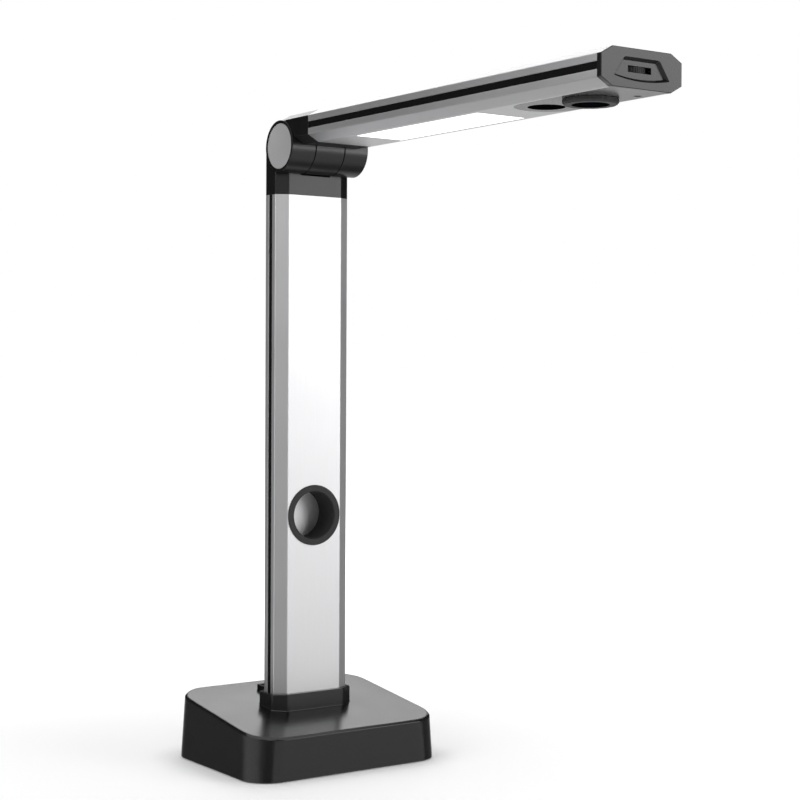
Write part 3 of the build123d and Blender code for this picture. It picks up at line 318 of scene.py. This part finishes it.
# Colour, then what differs from the defaults of surface()
FINISHES = {
    "black_gloss": ((0.011, 0.011, 0.0113), {
        "roughness": 0.16, "spread": 0.02, "grain": 0.5, "depth": 0.0004
    }),
    "black_matte": ((0.028, 0.028, 0.0284), {
        "roughness": 0.5, "grain": 0.3, "depth": 0.002, "specular": 0.25
    }),
    "silver_column": (COLUMN_SILVER, {
        "metallic": 1.0, "roughness": 0.5, "spread": 0.012, "tint": 0.012, "grain": 0.35,
        "depth": 0.001, "stretch": (1, 1, 0.015)
    }),
    "silver_arm": (SILVER, {
        "metallic": 1.0, "roughness": 0.46, "spread": 0.012, "tint": 0.012, "grain": 0.35,
        "depth": 0.001, "stretch": (1, 0.015, 1)
    }),
    "pocket_black": ((0.04, 0.04, 0.0405), {
        "roughness": 0.6, "grain": 0.3, "depth": 0.002, "specular": 0.1
    }),
    "black_collar": ((0.022, 0.022, 0.0223), {
        "roughness": 0.2, "spread": 0.02, "grain": 0.5, "depth": 0.0004
    }),
    "black_satin": ((0.006, 0.006, 0.0062), {
        "roughness": 0.3, "spread": 0.03, "grain": 0.5, "depth": 0.0005, "specular": 0.55
    }),
    "black_cover": ((0.006, 0.006, 0.0062), {
        "roughness": 0.23, "spread": 0.02, "grain": 0.5, "depth": 0.0004
    }),
    "strip_black": ((0.004, 0.004, 0.0042), {
        "roughness": 0.55, "grain": 0.3, "depth": 0.004, "specular": 0.1
    }),
    "silver_disc": (SILVER, {
        "metallic": 1.0, "roughness": 0.58, "grain": 0.5, "depth": 0.001, "tint": 0.03,
        "spun": HINGE
    }),
    "grey_gloss": ((0.06, 0.06, 0.062), {
        "roughness": 0.2, "spread": 0.02, "grain": 0.6, "depth": 0.0004, "specular": 0.3
    }),
    "black_glass": ((0.001, 0.001, 0.001), {
        "roughness": 0.04, "spread": 0.01, "grain": 1.0, "depth": 0.0001, "specular": 0.0
    }),
    "milky_white": ((0.9, 0.9, 0.9), {"roughness": 0.5, "grain": 0.6, "depth": 0.003, "emission": 1.3}),
    "white_plastic": ((0.8, 0.8, 0.79), {"roughness": 0.5}),
    "lamp_chip": ((0.9, 0.75, 0.3), {"roughness": 0.4, "emission": 1.0}),
    "board_green": ((0.01, 0.12, 0.045), {"roughness": 0.35, "grain": 1.2, "depth": 0.02}),
    "chip_black": ((0.02, 0.02, 0.02), {"roughness": 0.55, "grain": 0.2, "depth": 0.004}),
    "steel": ((0.56, 0.55, 0.54), {
        "metallic": 1.0, "roughness": 0.35, "grain": 0.3, "depth": 0.003, "stretch": (0.05, 1, 1)
    }),
    "screw_steel": ((0.5, 0.5, 0.5), {"metallic": 1.0, "roughness": 0.3, "grain": 0.2, "depth": 0.002}),
    "zinc_cast": ((0.4, 0.4, 0.41), {"metallic": 1.0, "roughness": 0.55, "grain": 0.8, "depth": 0.03}),
    "bearing_brass": ((0.72, 0.5, 0.2), {
        "metallic": 1.0, "roughness": 0.28, "grain": 0.2, "depth": 0.002, "stretch": (1, 1, 0.05)
    }),
    "friction_plastic": ((0.6, 0.57, 0.48), {"roughness": 0.45}),
    "clear_glass": ((0.02, 0.03, 0.05), {
        "roughness": 0.03, "spread": 0.01, "grain": 1.0, "depth": 0.0001
    }),
    "soft_pad": ((0.02, 0.02, 0.02), {"roughness": 0.75, "grain": 0.7, "depth": 0.05}),
    "wire_sheath": ((0.02, 0.02, 0.02), {"roughness": 0.5, "grain": 0.5, "depth": 0.01}),
}
finishes = {name: surface(name, color, **settings) for name, (color, settings) in FINISHES.items()}

LENS_AT = (0.0, -252.0)
LENS_CLEAR = 4.6
LENS_EDGE = 0.15
PRINT_BLACK = (0.001, 0.001, 0.001)
LENS_BLUE = (0.0016, 0.002, 0.0036)


def lens_face():
    """Black printed glass with a round clear opening over the lens, which shows a dark blue coating."""
    material = surface("lens_face", PRINT_BLACK, roughness=0.04, spread=0.01, grain=1.0, depth=0.0001,
                       specular=0.0)
    tree = material.node_tree
    shader = tree.nodes["Principled BSDF"]
    at = tree.nodes.new("ShaderNodeSeparateXYZ")
    tree.links.new(tree.nodes.new("ShaderNodeTexCoord").outputs["Object"], at.inputs[0])
    dx = math_node(tree, "SUBTRACT", at.outputs["X"], LENS_AT[0] * MM)
    dy = math_node(tree, "SUBTRACT", at.outputs["Y"], LENS_AT[1] * MM)
    radius = hypotenuse(tree, dx, dy)
    ramp = tree.nodes.new("ShaderNodeMix")
    ramp.data_type = "RGBA"
    clear = remap(tree, radius, (LENS_CLEAR + LENS_EDGE) * MM, LENS_CLEAR * MM, 0.0, 1.0)
    tree.links.new(clear, ramp.inputs["Factor"])
    ramp.inputs["A"].default_value = (*PRINT_BLACK, 1)
    ramp.inputs["B"].default_value = (*LENS_BLUE, 1)
    tree.links.new(ramp.outputs["Result"], shader.inputs["Base Color"])
    return material


finishes["lens_face"] = lens_face()
slot_of = {part["node"]: part["material_slot"] for part in frame["record"]["subparts"]}
body_of = {node: body for body, members in frame["record"]["behaviour"]["bodies"].items() for node in members}
special = {
    "column_extrusion": "silver_column",
    "arm_extrusion": "silver_arm",
    "column_strip_left": "strip_black",
    "column_strip_right": "strip_black",
    "arm_strip_left": "strip_black",
    "arm_strip_right": "strip_black",
    "neck_block": "black_satin",
    "arm_hinge_block": "black_satin",
    "base_top_cover": "black_cover",
    "base_collar": "black_collar",
    "lens_glass": "lens_face",
    "pocket_sleeve": "pocket_black",
}


def finish_of(node):
    return finishes[special.get(node, slot_of[node])]


for node, owner in nodes.items():
    owner.data.materials.clear()
    owner.data.materials.append(finish_of(node))


# ------------------------------------------------------------------ softened edges
# Millimetres. The ends of the hinge barrel's parts are distances from the middle plane
BARREL_R = 14.85
NECK_FOOT_Z = 330.8
NECK_KNUCKLE_ENDS = (26.0, 10.15)
ARM_KNUCKLE_END = 9.65
ARM_BLOCK_FRONT_Y = -40.8
ARM_TIP_Y = -287.4
ARM_AXIS_Z = 367.05
OUTER_X = 17.0
GROOVE_HALF = 2.0
COLLAR_REACH = (26.0, 10.5)
# The base's outer wall at the floor: half width, half depth, corner radius, middle; and how much each
# of them changes over BASE_LEAN_HEIGHT
BASE_FOOT = (64.0, 50.175, 17.3, -2.175)
BASE_LEAN = (-1.75, -0.35, 2.7, 0.15)
BASE_LEAN_HEIGHT = 42.0
WALL_NEAR = 0.12
WELD = 2e-6
FLAT_ANGLE = math.radians(0.6)
SHARP_ANGLE = math.radians(20)
SMOOTH_LIMIT = 33
# How near an edge's end has to be to a plane or a rim, in mm
PLANE_NEAR = 0.02
RIM_NEAR = 0.03


def shade(bm, limit):
    """Smooth shading, with edges sharper than limit degrees kept sharp."""
    for face in bm.faces:
        face.smooth = True
    for edge in bm.edges:
        edge.smooth = len(edge.link_faces) == 2 and edge.calc_face_angle(0) < math.radians(limit)


def softened(node, *rounds):
    """Copy of a CAD node with rounded edges, kept within the node's box. Each round is a width in mm,
    and a test on an edge's two ends in mm."""
    source = nodes[node]
    bm = bmesh.new()
    bm.from_mesh(source.data)
    bm.transform(source.matrix_world)
    bmesh.ops.remove_doubles(bm, verts=bm.verts, dist=WELD)
    bmesh.ops.dissolve_limit(bm, angle_limit=FLAT_ANGLE, verts=bm.verts, edges=bm.edges)
    for width, where in rounds:
        chosen = []
        for edge in bm.edges:
            if len(edge.link_faces) == 2 and edge.calc_face_angle_signed(0) > SHARP_ANGLE:
                a, b = (v.co / MM for v in edge.verts)
                if where(a, b):
                    chosen.append(edge)
        bmesh.ops.bevel(bm, geom=chosen, offset=width * MM, offset_type="OFFSET", segments=3, profile=0.5,
                        affect="EDGES", clamp_overlap=False, loop_slide=True)
    corners = [source.matrix_world @ v.co for v in source.data.vertices]
    low = [min(c[i] for c in corners) for i in range(3)]
    high = [max(c[i] for c in corners) for i in range(3)]
    for v in bm.verts:
        v.co = [min(max(v.co[i], low[i]), high[i]) for i in range(3)]
    shade(bm, SMOOTH_LIMIT)
    mesh = bpy.data.meshes.new(node + "_soft")
    bm.to_mesh(mesh)
    bm.free()
    piece = bpy.data.objects.new(node + "_soft", mesh)
    bpy.context.scene.collection.objects.link(piece)
    mesh.materials.append(finish_of(node))
    weighted = piece.modifiers.new("even", "WEIGHTED_NORMAL")
    weighted.keep_sharp = True
    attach(piece, body_of[node])
    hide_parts(node)


def along(axis, least, middle=False):
    """Long straight edges along one axis: the profile's corners, or its groove mouths in the middle."""
    def test(a, b):
        d = b - a
        thin = a.y if axis == 2 else a.z - ARM_AXIS_Z
        groove = abs(thin) < GROOVE_HALF
        straight = abs(d[axis]) > least and abs(d[axis]) > 0.999 * d.length
        return straight and abs(a.x) > OUTER_X and groove == middle
    return test


def collar_corner(a, b):
    """The upright outer corners of the collar, with their short slanting ends."""
    steep = abs(b.z - a.z) > 0.45 * (b - a).length
    return steep and all(abs(v.x) > COLLAR_REACH[0] or abs(v.y) > COLLAR_REACH[1] for v in (a, b))


def on_plane(axis, value):
    """Edges that lie in a plane square to one axis."""
    def test(a, b):
        return abs(a[axis] - value) < PLANE_NEAR and abs(b[axis] - value) < PLANE_NEAR
    return test


def on_barrel(x):
    """Rims of the hinge barrel at a distance x from the middle."""
    def on_rim(v):
        radius = math.hypot(v.y - HINGE[0], v.z - HINGE[1])
        return abs(radius - BARREL_R) < RIM_NEAR and abs(abs(v.x) - x) < PLANE_NEAR
    return lambda a, b: on_rim(a) and on_rim(b)


def either(*tests):
    return lambda a, b: any(test(a, b) for test in tests)


def base_wall(a, b):
    """Edges on the outer wall of the base."""
    for v in (a, b):
        lean = v.z / BASE_LEAN_HEIGHT
        half_x, half_y, radius, middle = (foot + lean * change for foot, change in zip(BASE_FOOT, BASE_LEAN))
        out_x = abs(v.x) - (half_x - radius)
        out_y = abs(v.y - middle) - (half_y - radius)
        depth = radius - math.hypot(max(out_x, 0), max(out_y, 0)) - min(max(out_x, out_y), 0)
        if abs(depth) > WALL_NEAR:
            return False
    return True


softened("column_extrusion", (0.4, along(2, 100)), (0.2, along(2, 100, True)))
softened("arm_extrusion", (0.45, along(1, 100)), (0.2, along(1, 100, True)))
neck_edges = either(on_plane(2, NECK_FOOT_Z), *[on_barrel(x) for x in NECK_KNUCKLE_ENDS])
arm_block_edges = either(on_plane(1, ARM_BLOCK_FRONT_Y), on_barrel(ARM_KNUCKLE_END))
softened("neck_block", (0.45, along(2, 3)), (0.2, neck_edges))
softened("arm_hinge_block", (0.4, along(1, 3)), (0.2, arm_block_edges))
softened("base_collar", (1.1, collar_corner))
softened("wire_cover", (0.3, lambda a, b: True))
softened("base_shell", (0.3, base_wall))
softened("end_cap", (0.1, on_plane(1, ARM_TIP_Y)))
